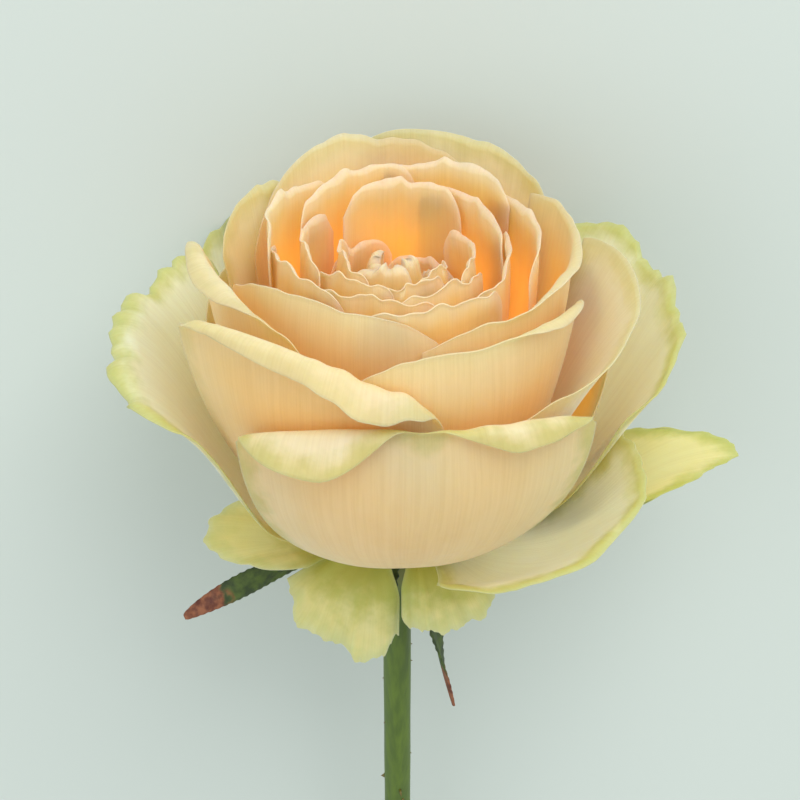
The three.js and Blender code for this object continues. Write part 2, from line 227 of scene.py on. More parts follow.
def inner_petal(order):
    """The inner petals follow one spiral: each stands further in, a golden angle on.

    They rise higher at the back; behind the crumpled core some are shorter and leave a hollow.
    """
    share = order / (INNER_PETALS - 1)
    core = order in CORE_HEIGHTS

    def between(ends):
        return mix(ends[0], ends[1], share)

    turn = INNER_TURN + GOLDEN_ANGLE * order
    radius = between(INNER_RADIUS)
    back = max(0, math.sin(math.radians(turn)))
    rise = BACK_RISE * back + UNEVEN_RISE * math.sin(RISE_WAVE * order)
    height = HOLLOW_HEIGHTS.get(order, between(INNER_HEIGHT) + rise)
    if core:
        height = CORE_HEIGHTS[order] - CORE_SINK
    slope = UNEVEN_SLOPE * math.sin(SLOPE_WAVE * order)
    lean = between(INNER_LEAN)
    lip = CORE_FOLD if core else INNER_LIP
    return dict(
        depth=between(INNER_DEPTH), turn=turn, span=between(INNER_SPAN), belly=INNER_BELLY * radius,
        low=between(INNER_LOW), rim=(radius + SPIRAL_DRIFT, radius, radius - SPIRAL_DRIFT),
        top=(height - slope, height, height + slope), lean=(lean, lean, lean),
        lip=(lip, lip, lip), roll=CORE_ROLL if core else INNER_ROLL, curl=1.2,
        shoulder=0.07, corner=9, ragged=0.012, ruffle=0.35 if core else 0.7, point=0.8,
        green=0.0, warm=between(INNER_WARMTH),
    )


# ---------------------------------------------------------------- the petal's surface
def smooth(x):
    x = np.clip(x, 0, 1)
    return x * x * (3 - 2 * x)


def across(three, u):
    """A quantity at u = -1..1, given at the left edge, the middle and the right edge."""
    left, middle, right = three
    return middle + (right - left) / 2 * u + ((left + right) / 2 - middle) * u * u


def lip_at(three, u):
    """A lip's length at u: it may swell on each side, and it dies out at the corners."""
    left, middle, right = three
    side = np.where(u < 0, left, right)
    return mix(middle, side, smooth(np.abs(u) / 0.5)) * (1 - np.abs(u) ** 4)


def torn(u, rng):
    """A random line of uneven teeth along u, 1 high round 0, as on a weathered rim."""
    line = np.full_like(u, -0.5)
    for pitch, height in ((1.2, 0.5), (2.6, 0.35), (6.5, 0.15)):
        place = u * pitch * rng.uniform(0.8, 1.25) + rng.uniform(0, 1)
        slant = rng.uniform(0.2, 0.8)
        tooth = place % 1
        line += height * np.minimum(tooth / slant, (1 - tooth) / (1 - slant))
    return line


def wavy(u, rng, pitches=(2.5, 6, 13, 27), falls=(1, 0.6, 0.35, 0.2)):
    """A smooth random line along u, about 1 high."""
    line = np.zeros_like(u)
    for pitch, height in zip(pitches, falls):
        pitch = pitch * rng.uniform(0.8, 1.25)
        line += height * np.sin(pitch * u + rng.uniform(0, 2 * math.pi))
    return line / sum(falls)


def profile_points(petal, u, end, roll):
    """The petal's profiles (radius, height), one row for each u, from the foot over the lip."""
    depth = petal["depth"]
    foot = np.array([mix(outer, inner, depth) for outer, inner in zip(OUTER_FOOT, INNER_FOOT)])
    rim = np.stack([across(petal["rim"], u), across(petal["top"], u)], -1)
    lean = np.radians(across(petal["lean"], u))
    reach = RIM_REACH * np.linalg.norm(rim - foot, axis=-1)
    high = rim - reach[:, None] * np.stack([np.sin(lean), np.cos(lean)], -1)
    low = np.array([petal["belly"], petal["low"]])
    t = (end[:, None] * np.linspace(0, 1, BODY_ROWS + 1))[..., None]
    foot, low, rim, high = foot[None, None], low[None, None], rim[:, None], high[:, None]
    body = (
        (1 - t) ** 3 * foot + 3 * (1 - t) ** 2 * t * low + 3 * (1 - t) * t * t * high + t**3 * rim
    )
    tangent = (
        (1 - t) ** 2 * (low - foot) + 2 * (1 - t) * t * (high - low) + t * t * (rim - high)
    )[:, -1]
    start = np.arctan2(tangent[:, 0], tangent[:, 1])
    lip = lip_at(petal["lip"], u)
    steps = LIP_ROWS * LIP_STEPS
    share = (np.arange(steps) + 0.5) / steps
    bend = np.abs(roll) * petal["curl"]
    angle = start[:, None] + roll[:, None] * np.minimum(1, lip[:, None] * share / bend[:, None])
    stride = np.maximum(lip, LEAST_LIP)[:, None] / steps
    walk = np.cumsum(np.stack([stride * np.sin(angle), stride * np.cos(angle)], -1), axis=1)
    over = body[:, -1:] + walk[:, LIP_STEPS - 1 :: LIP_STEPS]
    return np.concatenate([body, over], axis=1)


def sheet_normals(grid):
    """Unit normals of a grid of points, pointing out of the flower."""
    sideways = np.gradient(grid, axis=0)
    upwards = np.gradient(grid, axis=1)
    normal = np.cross(sideways, upwards)
    return normal / np.maximum(np.linalg.norm(normal, axis=-1, keepdims=True), 1e-9)


def walked(grid, axis):
    """How far each point of a grid lies along its line of points, from the line's first one."""
    strides = np.linalg.norm(np.diff(grid, axis=axis), axis=-1)
    start = np.zeros_like(strides[:1] if axis == 0 else strides[:, :1])
    return np.concatenate([start, np.cumsum(strides, axis=axis)], axis=axis)


def petal_grid(petal, rng):
    """The petal's middle surface, and for each point its place across, along and from the rim."""
    even = np.linspace(-1, 1, COLUMNS + 1)
    u = mix(even, np.sin(math.pi / 2 * even), 0.5)
    end = 1 - petal["shoulder"] * np.abs(u) ** petal["corner"]
    end -= petal["ragged"] * np.clip(wavy(u, rng), -0.2, 1) + petal["torn"] * torn(u, rng)
    end += petal["point"] * TIP_HEIGHT * np.exp(-((u / TIP_WIDTH) ** 2))
    uneven = 1 + UNEVEN_ROLL * wavy(u, rng, (3, 8, 17), (1, 0.7, 0.3))
    profile = profile_points(petal, u, end, math.radians(petal["roll"]) * uneven)
    rows = profile.shape[1]
    share = np.minimum(1, np.arange(rows) / BODY_ROWS / FULL_WIDTH_AT)
    width = mix(petal["claw"], 1, np.sin(math.pi / 2 * share))
    angle = np.radians(petal["turn"] + petal["span"] * u[:, None] * width[None])
    radius, height = profile[..., 0], profile[..., 1]
    grid = np.stack([radius * np.cos(angle), radius * np.sin(angle), height], -1)
    along = walked(grid, 1)
    to_rim = along[:, -1:] - along
    breadth = walked(grid, 0)
    to_side = np.minimum(breadth, breadth[-1:] - breadth)
    near_rim = np.exp(-to_rim / RUFFLE_FADE)
    waves = wavy(u, rng, (5, 11, 19), (1, 0.7, 0.35))[:, None] * near_rim
    swell = SWELL * wavy(u, rng, (3, 6), (1, 0.5))[:, None] * np.sin(math.pi * share)[None]
    grid = grid + sheet_normals(grid) * (petal["ruffle"] * (waves + swell))[..., None]
    return grid, np.broadcast_to(u[:, None], along.shape), along, np.minimum(to_rim, to_side)


def press_on_table(grid):
    """A petal that reaches the table is pressed flat on it by the head's weight."""
    laid = np.array(LAID)
    world = grid @ laid[:3, :3].T + laid[:3, 3]
    world[..., 2] = np.maximum(world[..., 2], (PETAL_THICKNESS / 2 + TABLE_GAP) * MM)
    return (world - laid[:3, 3]) @ np.linalg.inv(laid[:3, :3]).T


def new_piece(name, points, faces, values):
    """A smooth mesh laid down in the row frame, with named values on its points."""
    mesh = bpy.data.meshes.new(name)
    mesh.from_pydata(points, [], faces)
    mesh.transform(LAID)
    mesh.polygons.foreach_set("use_smooth", np.ones(len(mesh.polygons), bool))
    for key, value in values.items():
        layer = mesh.attributes.new(key, "FLOAT", "POINT")
        layer.data.foreach_set("value", np.asarray(value, np.float32))
    piece = bpy.data.objects.new(name, mesh)
    bpy.context.scene.collection.objects.link(piece)
    return piece


def closed_sheet(name, grid, half, values):
    """A closed mesh: the grid thickened by half to both sides, with values on its points."""
    columns, rows = grid.shape[:2]
    normal = sheet_normals(grid)
    faces_out = (grid + normal * half[..., None]).reshape(-1, 3)
    faces_in = (grid - normal * half[..., None]).reshape(-1, 3)
    ids = np.arange(columns * rows).reshape(columns, rows)
    a, b, c, d = ids[:-1, :-1], ids[1:, :-1], ids[1:, 1:], ids[:-1, 1:]
    count = columns * rows
    quads = [
        np.stack([a, b, c, d], -1).reshape(-1, 4),
        np.stack([d, c, b, a], -1).reshape(-1, 4) + count,
    ]
    loop = np.concatenate([ids[:-1, 0], ids[-1, :-1], ids[:0:-1, -1], ids[0, :0:-1]])
    after = np.roll(loop, -1)
    quads.append(np.stack([loop + count, after + count, after, loop], -1))

    def on_both_sides(value):
        both = value if isinstance(value, tuple) else (value, value)
        return np.concatenate([np.broadcast_to(side, (columns, rows)).reshape(-1) for side in both])

    points = np.concatenate([faces_out, faces_in]).tolist()
    values = {key: on_both_sides(value) for key, value in values.items()}
    return new_piece(name, points, np.concatenate(quads).tolist(), values)


def finish_piece(piece, node, material):
    piece.data.materials.append(material)
    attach(piece, "root")
    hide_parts(node)


def build_petal(node, shape, material, seed):
    petal = {**PLAIN_PETAL, **shape}
    grid, u, along, to_edge = petal_grid(petal, np.random.default_rng(seed))
    if petal["on_table"]:
        grid = press_on_table(grid)
    share = along / along.max()
    half = mix(FOOT_THICKNESS, PETAL_THICKNESS, np.minimum(1, share / FULL_THICKNESS_AT)) / 2
    half = mix(RIM_THICKNESS / 2, half, smooth(to_edge / RIM_TAPER))
    values = {
        "across": u,
        "along": along,
        "from_rim": to_edge,
        "inside": (0.0, 1.0),
        "green": petal["green"],
        "warm": petal["warm"],
        "green_claw": petal["green_claw"],
        "seed": seed * SEED_STEP,
    }
    piece = closed_sheet("rose_" + node, grid, half, values)
    finish_piece(piece, node, material)


# ---------------------------------------------------------------- shader node tools
def new_group(name, inputs, outputs):
    """An empty shader node group with named sockets: (name, kind, default) and (name, kind)."""
    group = bpy.data.node_groups.new(name, "ShaderNodeTree")
    for label, kind, value in inputs:
        socket = group.interface.new_socket(name=label, in_out="INPUT", socket_type=kind)
        socket.default_value = value
    for label, kind in outputs:
        group.interface.new_socket(name=label, in_out="OUTPUT", socket_type=kind)
    return group, Graph(group), group.nodes.new("NodeGroupInput"), group.nodes.new("NodeGroupOutput")


class Graph:
    """Short calls that add and join the nodes of one node tree."""

    def __init__(self, tree):
        self.tree = tree

    def node(self, kind, links=(), **settings):
        node = self.tree.nodes.new(kind)
        for key, value in settings.items():
            setattr(node, key, value)
        for socket, value in dict(links).items():
            self.feed(node.inputs[socket], value)
        return node

    def feed(self, socket, value):
        if isinstance(value, bpy.types.NodeSocket):
            self.tree.links.new(value, socket)
        else:
            socket.default_value = value

    def value_of(self, attribute):
        return self.node("ShaderNodeAttribute", attribute_name=attribute).outputs["Fac"]

    def math(self, operation, a, b):
        return self.node("ShaderNodeMath", {0: a, 1: b}, operation=operation).outputs[0]

    def ramp(self, value, low, high, to_low=0.0, to_high=1.0):
        """value from low..high onto to_low..to_high, smoothly and held at both ends."""
        node = self.node(
            "ShaderNodeMapRange",
            {"Value": value, "From Min": low, "From Max": high, "To Min": to_low, "To Max": to_high},
            interpolation_type="SMOOTHSTEP",
        )
        return node.outputs["Result"]

    def blend(self, share, a, b, mode="MIX"):
        node = self.node("ShaderNodeMix", data_type="RGBA", blend_type=mode)
        for socket, value in ((0, share), (6, a), (7, b)):
            self.feed(node.inputs[socket], value)
        return node.outputs[2]

    def noise(self, vector, scale, detail=2.0, rough=0.5):
        node = self.node(
            "ShaderNodeTexNoise",
            {"Vector": vector, "Scale": scale, "Detail": detail, "Roughness": rough},
        )
        return node.outputs["Fac"]

    def bump(self, height, strength, distance):
        links = {"Height": height, "Strength": strength, "Distance": distance}
        return self.node("ShaderNodeBump", links).outputs["Normal"]

    def join_xyz(self, x, y, z):
        return self.node("ShaderNodeCombineXYZ", {0: x, 1: y, 2: z}).outputs[0]

    def group(self, group, **links):
        node = self.tree.nodes.new("ShaderNodeGroup")
        node.node_tree = group
        for label, value in links.items():
            self.feed(node.inputs[label.replace("_", " ")], value)
        return node.outputs


FLOAT, VECTOR = "NodeSocketFloat", "NodeSocketVector"


def srgb(r, g, b):
    """A colour picked as 0-255 values, as the linear colour that a shader takes."""
    def linear(c):
        c = c / 255
        return c / 12.92 if c <= 0.04045 else ((c + 0.055) / 1.055) ** 2.4
    return (linear(r), linear(g), linear(b), 1.0)


def new_material(name):
    """A node material, its graph, its main shader and the socket of a point's place in metres."""
    material = bpy.data.materials.new(name)
    material.use_nodes = True
    g = Graph(material.node_tree)
    shader = material.node_tree.nodes["Principled BSDF"]
    place = g.node("ShaderNodeTexCoord").outputs["Object"]
    return material, g, shader, place


BROAD_VEINS = 18.0
FINE_VEINS = 80.0

# a petal is in its depth this many millimetres in from its rim
DEPTH_FROM = 3.0
DEPTH_FULL = 18.0

VEIN_TINT = srgb(196, 150, 84)
# the colour of the painted shade low on a petal's outer face
PAINTED_FOOT_SHADE = srgb(226, 178, 106)
CLAW_GREEN = srgb(146, 152, 44)
BLOTCH_TINT = (0.8, 0.7, 0.45, 1)
# the colour of the painted glow that stands in for light coming through a petal
PAINTED_GLOW_COLOUR = srgb(255, 190, 84)
BLACK = (0, 0, 0, 1)


def vein_group():
    """Fine lengthwise veins that fan out from the foot, as a mask and a height."""
    group, g, inputs, outputs = new_group(
        "lengthwise veins",
        [("Across", FLOAT, 0.0), ("Along mm", FLOAT, 0.0), ("Seed", FLOAT, 0.0), ("Veins", FLOAT, 26.0)],
        [("Mask", FLOAT), ("Height", FLOAT)],
    )
    across_petal, along = inputs.outputs["Across"], inputs.outputs["Along mm"]
    seed = inputs.outputs["Seed"]
    spread = g.math("MULTIPLY", across_petal, inputs.outputs["Veins"])
    bend = g.join_xyz(g.math("MULTIPLY", across_petal, 3.0), g.math("MULTIPLY", along, 0.05), seed)
    place = g.math("ADD", spread, g.math("MULTIPLY", g.noise(bend, 1.0), 3.0))
    strand = g.noise(g.join_xyz(place, g.math("MULTIPLY", along, 0.035), seed), 1.0, 3.0, 0.6)
    g.feed(outputs.inputs["Mask"], g.ramp(strand, 0.42, 0.62))
    g.feed(outputs.inputs["Height"], strand)
    return group


def rim_group():
    """How near a point is to a petal's rim, with an uneven border, as a mask."""
    group, g, inputs, outputs = new_group(
        "petal rim",
        [("From rim mm", FLOAT, 0.0), ("Width mm", FLOAT, 3.0), ("Uneven", FLOAT, 1.0),
         ("Place", VECTOR, (0, 0, 0))],
        [("Mask", FLOAT)],
    )
    stain = g.math("SUBTRACT", g.noise(inputs.outputs["Place"], 220.0, 3.0), 0.5)
    shift = g.math("MULTIPLY", stain, g.math("MULTIPLY", inputs.outputs["Uneven"], 6.0))
    distance = g.math("ADD", inputs.outputs["From rim mm"], shift)
    mask = g.ramp(distance, 0.0, inputs.outputs["Width mm"], 1.0, 0.0)
    g.feed(outputs.inputs["Mask"], mask)
    return group


VEINS = vein_group()
RIM = rim_group()


def tint_faces(g, body, heart, deep_tone_and_shade, outside):
    """The petal's colour: warm in its depth, partly its own tone and partly painted warm shade, duller
    on its outer face, with painted shade towards its foot.
    """
    from_rim, warm, inside = g.value_of("from_rim"), g.value_of("warm"), g.value_of("inside")
    outer_face = g.math("SUBTRACT", 1.0, inside)
    skin = g.blend(warm, body, heart)
    # partly the petal's own warmer tone, partly painted warm shade: deeper in from the rim, and less on
    # the outer face where petals overlap, the skin turns towards the deep orange
    depth_warmth_and_shade = g.math("MULTIPLY", g.ramp(from_rim, DEPTH_FROM, DEPTH_FULL), g.ramp(warm, 0.0, 0.6))
    depth_warmth_and_shade = g.math("MULTIPLY", depth_warmth_and_shade, g.ramp(inside, 0.0, 1.0, 0.6, 1.0))
    skin = g.blend(depth_warmth_and_shade, skin, deep_tone_and_shade)
    back = g.math("MULTIPLY", outer_face, g.ramp(warm, 0.0, 0.3))
    skin = g.blend(g.math("MULTIPLY", back, 0.55), skin, outside)
    # painted shade: the outer face darkens towards the petal's foot
    shade = g.math("MULTIPLY", g.ramp(from_rim, 18.0, 44.0, 0.0, 0.6), outer_face)
    return g.blend(shade, skin, PAINTED_FOOT_SHADE, "MULTIPLY")


def tint_rim(g, skin, place, rim, green_rim):
    """A pale border, and over it an uneven green one where the petal weathered."""
    from_rim = g.value_of("from_rim")
    pale = g.group(RIM, From_rim_mm=from_rim, Width_mm=5.0, Uneven=0.4, Place=place)["Mask"]
    skin = g.blend(g.math("MULTIPLY", pale, 0.8), skin, rim)
    green = g.group(RIM, From_rim_mm=from_rim, Width_mm=6.0, Uneven=1.2, Place=place)["Mask"]
    return g.blend(g.math("MULTIPLY", green, g.value_of("green")), skin, green_rim)


def tint_claw(g, skin, place):
    """The green of a guard petal's narrow foot, with an uneven end."""
    uneven = g.math("MULTIPLY", g.noise(place, 260.0, 3.0), 12.0)
    claw = g.ramp(g.math("ADD", g.value_of("along"), uneven), 15.0, 25.0, 1.0, 0.0)
    return g.blend(g.math("MULTIPLY", claw, g.value_of("green_claw")), skin, CLAW_GREEN)


def tint_veins(g, skin, veins, threads):
    """Broad veins and fine threads between them, a little darker than the skin."""
    broad = g.math("MULTIPLY", veins["Mask"], 0.04)
    fine = g.math("MULTIPLY", threads["Mask"], 0.06)
    return g.blend(g.math("ADD", broad, fine), skin, VEIN_TINT, "MULTIPLY")


def painted_glow(g):
    """A painted glow: faint warm emission in a petal's depth that stands in for the light coming through
    it, stronger on its inner face.
    """
    depth = g.ramp(g.value_of("from_rim"), DEPTH_FROM, DEPTH_FULL)
    through = g.math("MULTIPLY", depth, g.ramp(g.value_of("warm"), 0.0, 0.6))
    through = g.math("MULTIPLY", through, g.ramp(g.value_of("inside"), 0.0, 1.0, 0.24, 1.0))
    return g.blend(through, BLACK, PAINTED_GLOW_COLOUR)


def petal_material(name, heart, body, deep_tone_and_shade, rim, green_rim, outside, glow):
    """Petal skin: warm towards the foot, pale at the rim, green where the petal weathered, with painted
    shade low on the outer face and a painted glow in its depth.
    """
    material, g, shader, place = new_material(name)
    lines = dict(Across=g.value_of("across"), Along_mm=g.value_of("along"), Seed=g.value_of("seed"))
    veins = g.group(VEINS, Veins=BROAD_VEINS, **lines)
    threads = g.group(VEINS, Veins=FINE_VEINS, **lines)
    skin = tint_faces(g, body, heart, deep_tone_and_shade, outside)
    skin = tint_rim(g, skin, place, rim, green_rim)
    skin = tint_veins(g, skin, veins, threads)
    skin = tint_claw(g, skin, place)
    blotch = g.ramp(g.noise(place, 90.0, 4.0), 0.3, 0.7, 0.0, 0.12)
    skin = g.blend(blotch, skin, BLOTCH_TINT, "MULTIPLY")
    g.feed(shader.inputs["Base Color"], skin)
    # painted glow: the petal's depth emits light of its own
    g.feed(shader.inputs["Emission Color"], painted_glow(g))
    shader.inputs["Emission Strength"].default_value = glow
    g.feed(shader.inputs["Roughness"], g.ramp(g.noise(place, 400.0, 2.0), 0.2, 0.8, 0.42, 0.6))
    grain = g.math("MULTIPLY", g.noise(place, 2600.0, 2.0), 0.25)
    height = g.math("ADD", g.math("MULTIPLY", threads["Height"], 0.6), grain)
    g.feed(shader.inputs["Normal"], g.bump(height, 0.25, 0.4 * MM))
    shader.inputs["Subsurface Weight"].default_value = 0.6
    shader.inputs["Subsurface Radius"].default_value = (1.0, 0.6, 0.3)
    shader.inputs["Subsurface Scale"].default_value = 6 * MM
    shader.inputs["Sheen Weight"].default_value = 0.15
    shader.inputs["Sheen Roughness"].default_value = 0.4
    shader.inputs["Specular IOR Level"].default_value = 0.35
    return material


def leaf_material():
    """Sepal skin: mottled dark green, drying to red-brown at the tip."""
    material, g, shader, place = new_material("sepal leaf")
    mottle = g.noise(place, 500.0, 4.0)
    leaf = g.blend(g.ramp(mottle, 0.3, 0.7), srgb(40, 58, 18), srgb(84, 104, 44))
    dry = g.blend(g.ramp(g.noise(place, 700.0, 3.0), 0.3, 0.7), srgb(92, 40, 24), srgb(150, 92, 60))
    uneven = g.math("MULTIPLY", g.math("SUBTRACT", mottle, 0.5), 0.25)
    border = g.math("ADD", g.value_of("share"), uneven)
    g.feed(shader.inputs["Base Color"], g.blend(g.ramp(border, 0.72, 0.8), leaf, dry))
    g.feed(shader.inputs["Roughness"], g.ramp(mottle, 0.2, 0.8, 0.5, 0.75))
    g.feed(shader.inputs["Normal"], g.bump(mottle, 0.6, 0.3 * MM))
    return material


def stem_material():
    """Waxy green skin with fine lengthwise streaks, olive on the hip, pale pith on the cut."""
    material, g, shader, place = new_material("stem skin")
    stretched = g.node("ShaderNodeMapping", {"Vector": place, "Scale": (900.0, 60.0, 900.0)})
    streak = g.noise(stretched.outputs[0], 1.0, 4.0)
    skin = g.blend(g.ramp(streak, 0.3, 0.7), srgb(70, 94, 14), srgb(88, 112, 24))
    skin = g.blend(g.value_of("hip"), skin, srgb(132, 136, 38))
    skin = g.blend(g.value_of("prickle"), skin, srgb(128, 96, 50))
    cells = g.ramp(g.noise(place, 900.0, 3.0), 0.3, 0.7)
    pith = g.blend(cells, srgb(214, 220, 170), srgb(178, 190, 120))
    g.feed(shader.inputs["Base Color"], g.blend(g.value_of("cut"), skin, pith))
    g.feed(shader.inputs["Roughness"], g.ramp(streak, 0.2, 0.8, 0.34, 0.5))
    g.feed(shader.inputs["Normal"], g.bump(streak, 0.3, 0.3 * MM))
    return material


OUTER_SKIN = petal_material(
    "outer petal skin", heart=srgb(232, 204, 126), body=srgb(242, 234, 194), deep_tone_and_shade=srgb(232, 216, 160),
    rim=srgb(222, 214, 168), green_rim=srgb(170, 174, 90), outside=srgb(206, 196, 132), glow=0.0)
CUP_SKIN = petal_material(
    "cup petal skin", heart=srgb(255, 198, 130), body=srgb(252, 236, 198), deep_tone_and_shade=srgb(255, 172, 74),
    rim=srgb(228, 202, 150), green_rim=srgb(180, 174, 104), outside=srgb(234, 190, 124), glow=0.3)
INNER_SKIN = petal_material(
    "inner petal skin", heart=srgb(255, 204, 132), body=srgb(255, 214, 152), deep_tone_and_shade=srgb(255, 166, 56),
    rim=srgb(255, 224, 180), green_rim=srgb(240, 226, 170), outside=srgb(255, 200, 126), glow=0.5)
LEAF_SKIN = leaf_material()
STEM_SKIN = stem_material()


def build_petals():
    """Every petal, from the outside in, each with its own seed."""
    petals = [("guard_" + name, {**PLAIN_GUARD, **shape}, "outer_petal", OUTER_SKIN)
              for name, shape in GUARD_PETALS.items()]
    petals += [("outer_" + name, {**PLAIN_OUTER, **shape}, "outer_petal", OUTER_SKIN)
               for name, shape in OUTER_PETALS.items()]
    petals += [("cup_" + name, shape, "cup_petal", CUP_SKIN) for name, shape in CUP_PETALS.items()]
    petals += [(f"inner_{order + 1:02d}", inner_petal(order), "inner_petal", INNER_SKIN)
               for order in range(INNER_PETALS)]
    for seed, (name, shape, slot, skin) in enumerate(petals, start=1):
        build_petal("petal_" + name, shape, skin, seed)


# ---------------------------------------------------------------- sepals
SEPALS = {
    "left": dict(turn=181, length=38, droop=29, sag=4),
    "front": dict(turn=252, length=17, droop=74, sag=8),
    "right": dict(turn=322, length=34, droop=78, sag=-9),
    "back_right": dict(turn=36, length=26, droop=60, sag=10),
    "back_left": dict(turn=108, length=27, droop=56, sag=10),
}
SEPAL_SEAT = (6.3, -3.4)
SEPAL_THICKNESS = 0.9
EDGE_THINNING = 0.45
TIP_THINNING = 0.5
SEPAL_HALF_WIDTH = 2.3
SEPAL_TIP_HALF_WIDTH = 0.5
SEPAL_TAPER = 3
SEPAL_TAPER_EASE = 0.7
SEPAL_FOLD = 0.3
SEPAL_TWIST = -0.9
TWIST_FROM = 0.3
TWIST_OVER = 0.6
TOOTH_PITCH = 1.6
TOOTH_DEPTH = 0.16
SEPAL_ROWS = 90
SEPAL_COLUMNS = 10
FIRST_SEPAL_SEED = 200


def build_sepal(name, turn, length, droop, sag, seed):
    """A narrow folded leaf with a toothed margin that dries and twists at its tip."""
    rng = np.random.default_rng(seed)
    share = np.linspace(0, 1, SEPAL_ROWS + 1)
    side = np.linspace(-1, 1, SEPAL_COLUMNS + 1)
    angle = np.radians(droop + sag * (share - 0.5) * 2)
    step = length / SEPAL_ROWS
    radius = SEPAL_SEAT[0] + np.concatenate([[0], np.cumsum(step * np.cos(angle[:-1]))])
    height = SEPAL_SEAT[1] - np.concatenate([[0], np.cumsum(step * np.sin(angle[:-1]))])
    half = SEPAL_HALF_WIDTH * (1 - share**SEPAL_TAPER) ** SEPAL_TAPER_EASE + SEPAL_TIP_HALF_WIDTH
    teeth = np.abs(((share * length / TOOTH_PITCH + rng.uniform(0, 1)) % 1) - 0.5) * 2
    twist = SEPAL_TWIST * smooth((share - TWIST_FROM) / TWIST_OVER)
    a = math.radians(turn)
    outward = np.array([math.cos(a), math.sin(a), 0])
    sideways = np.array([-math.sin(a), math.cos(a), 0])
    upward = np.array([0, 0, 1])
    grid = np.zeros((SEPAL_COLUMNS + 1, SEPAL_ROWS + 1, 3))
    for column, s in enumerate(side):
        edge = 1 + (TOOTH_DEPTH * (teeth - 0.5) if abs(s) > 0.99 else 0)
        spread = s * half * edge * np.cos(twist)
        lift = abs(s) * SEPAL_FOLD * half + s * half * np.sin(twist)
        grid[column] = (
            outward * (radius + lift * np.sin(angle))[:, None]
            + sideways * spread[:, None]
            + upward * (height + lift * np.cos(angle))[:, None]
        )
    across = SEPAL_THICKNESS / 2 * (1 - EDGE_THINNING * np.abs(side))
    thick = across[:, None] * (1 - TIP_THINNING * share)[None]
    node = "sepal_" + name
    piece = closed_sheet("rose_" + node, grid, thick, {"share": share})
    finish_piece(piece, node, LEAF_SKIN)


def build_sepals():
    for seed, (name, shape) in enumerate(SEPALS.items(), start=FIRST_SEPAL_SEED):
        build_sepal(name, seed=seed, **shape)


# ---------------------------------------------------------------- stem and hip
# the stem's radius at each height, from its cut end to the top of the hip's dome
NECK = -22
DOME_TOP = 2.6
STEM_PROFILE = [
    (-STEM_REACH, STEM_RADIUS), (-STEM_REACH / 2, STEM_RADIUS - 0.1), (NECK, STEM_RADIUS),
    (-14.5, STEM_RADIUS + 0.3), (-12.6, STEM_RADIUS + 1.1), (-10, HIP_RADIUS - 0.5),
    (-7, HIP_RADIUS), (-4.4, HIP_RADIUS - 0.2), (-2.6, HIP_RADIUS - 0.6), (-0.6, 3.6),
    (DOME_TOP, 0.0),
]
DOME_TOP_RADIUS = 0.02
STEM_SIDES = 40
STEM_RINGS = 90
HIP_RINGS = 56
RING_GAP = 0.4
STEM_RIDGES = 5
RIDGE_HEIGHT = 0.012
RIDGE_TWIST = 0.05
BUMP_HEIGHT = 0.008
BUMP_WAVE = 0.31
STEM_SEED = 77

# the slanted cut straightens out within this length, and its face has rings at these shares
CUT_FADE = 6
CUT_RINGS = (0.97, 0.6, 0.3)

# the hip's own colour starts at this height and is full this much higher
HIP_TINT_FROM = -14
HIP_TINT_OVER = 5

# the small prickles near the head, by height and turn; more stand scattered further down, within
# the heights and turns given, and the ones below the head's are larger
HEAD_PRICKLES = [(-32.4, 0), (-28.7, 8), (-36.6, 182), (-47, 200), (-55, 350)]
HEAD_PRICKLES_DOWN_TO = -60
HEAD_PRICKLE_SIZE = (0.35, 0.3)
LOW_PRICKLES = 9
LOW_PRICKLE_HEIGHTS = (-140, -42)
LOW_PRICKLE_TURNS = (150, 390)
LOW_PRICKLE_REACH = (0.6, 1.4)
LOW_PRICKLE_FOOT = (0.5, 0.9)
PRICKLE_SIDES = 8
PRICKLE_SINK = 0.25
PRICKLE_SLIMNESS = 0.6
PRICKLE_DROOP = 0.5
PRICKLE_FOOT_TINT = 0.3


def stem_tube(heights, radii):
    """The rings of the stem and the hip, ridged a little, and each point's share of hip colour."""
    turns = np.linspace(0, 2 * math.pi, STEM_SIDES, endpoint=False)
    points, hip = [], []
    for z, r in zip(heights, radii):
        ridge = 1 + RIDGE_HEIGHT * np.sin(STEM_RIDGES * turns + RIDGE_TWIST * z)
        ridge += BUMP_HEIGHT * math.sin(z * BUMP_WAVE)
        near_cut = max(0.0, 1 - (z + STEM_REACH) / CUT_FADE)
        for turn, swell in zip(turns, ridge):
            x, y = r * swell * math.cos(turn), r * swell * math.sin(turn)
            points.append((x, y, z + CUT_SLOPE * (STEM_RADIUS - y) * near_cut))
            hip.append(float(np.clip((z - HIP_TINT_FROM) / HIP_TINT_OVER, 0, 1)))
    return points, hip


def cut_rings(first_ring):
    """The slanted cut's face: the stem's first ring again, ever smaller."""
    return [
        (x * share, y * share, CUT_SLOPE * (STEM_RADIUS - y * share) - STEM_REACH)
        for share in CUT_RINGS
        for x, y, _ in first_ring
    ]


def prickle_points(z, turn, radius, reach, foot):
    """A prickle's foot ring, sunk in the stem's skin, and its tip, which points down a little."""
    a = math.radians(turn)
    out = np.array([math.cos(a), math.sin(a), 0])
    side = np.array([-math.sin(a), math.cos(a), 0])
    points = []
    for k in range(PRICKLE_SIDES):
        b = 2 * math.pi * k / PRICKLE_SIDES
        p = out * (radius - PRICKLE_SINK) + side * foot * PRICKLE_SLIMNESS * math.cos(b)
        points.append((p[0], p[1], z + foot * math.sin(b)))
    tip = out * (radius + reach)
    return points + [(tip[0], tip[1], z - PRICKLE_DROOP * reach)]


def ring_quads(first, second):
    """The quads between two rings of the stem, given by the numbers of their first points."""
    nexts = [(k + 1) % STEM_SIDES for k in range(STEM_SIDES)]
    return [(first + k, first + n, second + n, second + k) for k, n in enumerate(nexts)]


